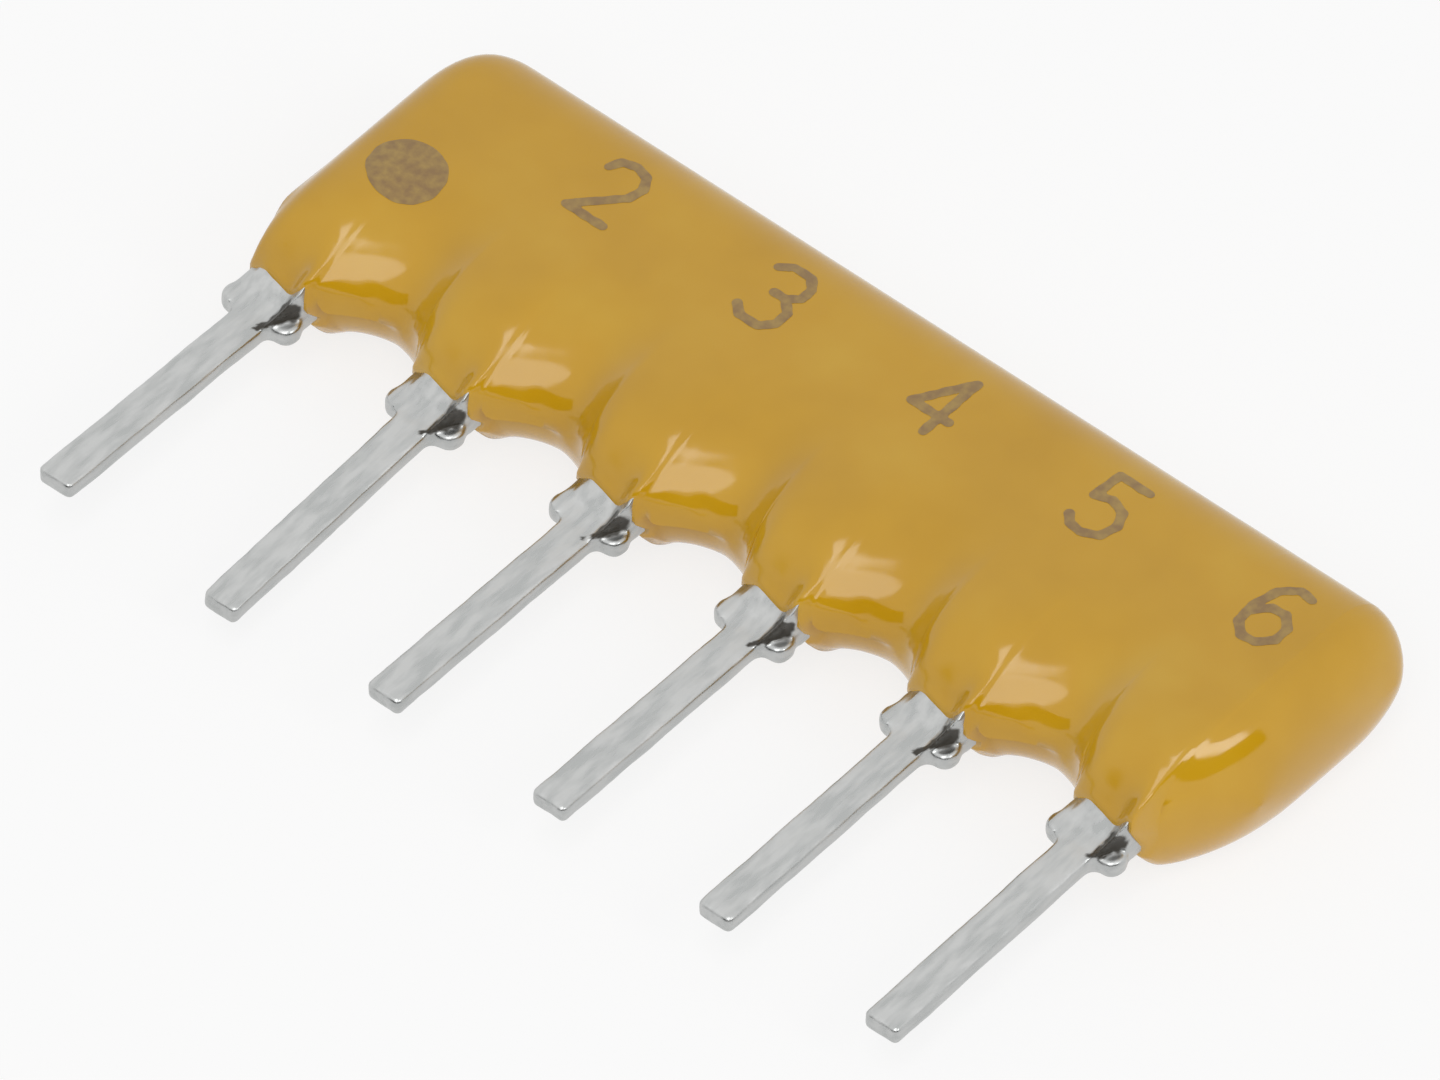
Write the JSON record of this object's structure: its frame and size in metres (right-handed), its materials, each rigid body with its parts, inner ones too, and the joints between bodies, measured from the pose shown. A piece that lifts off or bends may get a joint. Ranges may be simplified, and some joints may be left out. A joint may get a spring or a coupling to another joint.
{
  "type": "resistor network",
  "caption": "Single-in-line thick-film resistor network: flat clip leads solder-fixed to a ceramic plate under a glossy ochre dipped coat with scalloped foot.",
  "frame": {"origin": "middle of the whole part's footprint, on the surface that it lies on", "axes": "+X along the lead row from lead 1 to lead 6, +Y from the lead tips up the body, +Z out of the marked face; the part lies on its back"},
  "size_m": [0.0146, 0.0084, 0.0021],
  "materials": {
    "ochre_epoxy_coat": "glossy dipped epoxy",
    "alumina": "fired, matt",
    "silver_film": "fired silver palladium film, satin",
    "resistor_film": "fired resistive glass, matt",
    "green_overglaze": "fired glass glaze, opaque",
    "tinned_copper_alloy": "bright tin over copper alloy, dipped",
    "solder": "bright reflowed solder"
  },
  "bodies": {
    "root": {"coat": "ochre_epoxy_coat", "substrate": "alumina", "common_conductor": "silver_film", "pad_2": "silver_film", "pad_3": "silver_film", "pad_4": "silver_film", "pad_5": "silver_film", "pad_6": "silver_film", "resistor_2": "resistor_film", "resistor_3": "resistor_film", "resistor_4": "resistor_film", "resistor_5": "resistor_film", "resistor_6": "resistor_film", "overglaze": "green_overglaze", "lead_1": "tinned_copper_alloy", "lead_2": "tinned_copper_alloy", "lead_3": "tinned_copper_alloy", "lead_4": "tinned_copper_alloy", "lead_5": "tinned_copper_alloy", "lead_6": "tinned_copper_alloy", "solder_1": "solder", "solder_2": "solder", "solder_3": "solder", "solder_4": "solder", "solder_5": "solder", "solder_6": "solder"}
  },
  "joints": []
}
